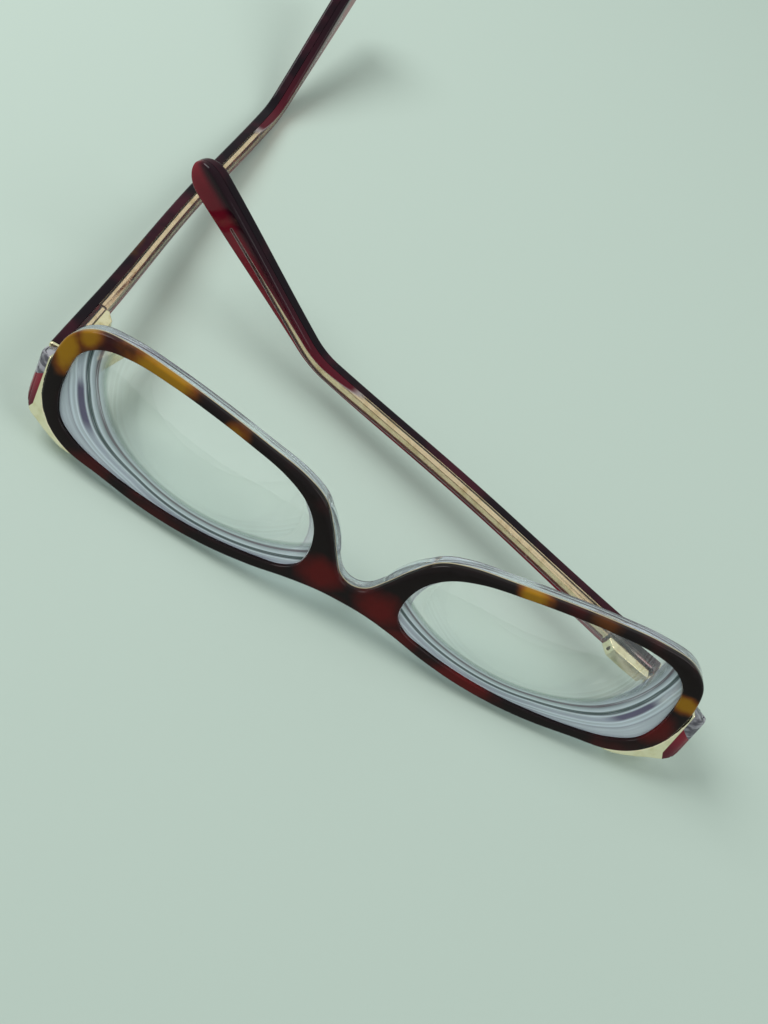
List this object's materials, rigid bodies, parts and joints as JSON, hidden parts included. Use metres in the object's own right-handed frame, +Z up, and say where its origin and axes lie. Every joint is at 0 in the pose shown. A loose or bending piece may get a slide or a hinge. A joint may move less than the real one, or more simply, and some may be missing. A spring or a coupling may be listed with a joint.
{
  "type": "eyeglasses",
  "caption": "Full-rim rectangular eyeglasses lying upside down on the brow edge, tortoiseshell front over a clear layer, spring-hinged temples, one open and one folded.",
  "frame": {"origin": "centre of the bounding box in X and Y, on the surface that the glasses lie on", "axes": "+X along the front from the wearer's left to right temple as it lies, +Y from the front back to the open temple's tip, +Z up"},
  "size_m": [0.1392, 0.1514, 0.0287],
  "materials": {
    "tortoise": "polished acetate with amber patches",
    "clear_plastic": "polished clear acetate",
    "crimson_plastic": "polished translucent acetate",
    "lens_glass": "polished",
    "gold": "polished pale gold plate",
    "steel": "turned",
    "red_enamel": "glossy enamel fill",
    "grey_enamel": "pearly enamel fill"
  },
  "bodies": {
    "front": {"end_piece_left": "gold", "end_piece_right": "gold", "front_clear_layer": "clear_plastic", "front_tortoise_layer": "tortoise", "grey_inlay_left": "grey_enamel", "grey_inlay_right": "grey_enamel", "hinge_screw_left": "steel", "hinge_screw_right": "steel", "lens_left": "lens_glass", "lens_right": "lens_glass", "lower_pin_left": "steel", "lower_pin_right": "steel", "red_inlay_left": "red_enamel", "red_inlay_right": "red_enamel", "upper_pin_left": "steel", "upper_pin_right": "steel"},
    "slider_left": {"hinge_slider_left": "gold", "hinge_spring_left": "steel"},
    "temple_left": {"core_wire_left": "gold", "hinge_case_left": "gold", "temple_cap_left": "gold", "temple_inner_layer_left": "crimson_plastic", "temple_outer_layer_left": "tortoise"},
    "slider_right": {"hinge_slider_right": "gold", "hinge_spring_right": "steel"},
    "temple_right": {"core_wire_right": "gold", "hinge_case_right": "gold", "temple_cap_right": "gold", "temple_inner_layer_right": "crimson_plastic", "temple_outer_layer_right": "tortoise"}
  },
  "joints": [
    {"name": "hinge_left", "type": "hinge", "parent": "front", "child": "slider_left", "pos_m": [-0.06287, -0.06074, 0.0109], "axis": [0, -0.1018, -0.9948], "range_deg": [0, 41]},
    {"name": "spring_slide_left", "type": "slide", "parent": "slider_left", "child": "temple_left", "axis": [0, 0.9948, -0.1018], "range_m": [0, 0.0014], "stiffness_N_per_m": 2000, "springref_m": -0.0006},
    {"name": "hinge_right", "type": "hinge", "parent": "front", "child": "slider_right", "pos_m": [0.06353, -0.06074, 0.0109], "axis": [0, -0.1018, -0.9948], "range_deg": [-8, 73.3]},
    {"name": "spring_slide_right", "type": "slide", "parent": "slider_right", "child": "temple_right", "axis": [-0.9578, 0.2859, -0.0292], "range_m": [0, 0.0014], "stiffness_N_per_m": 2000, "springref_m": -0.0006}
  ]
}
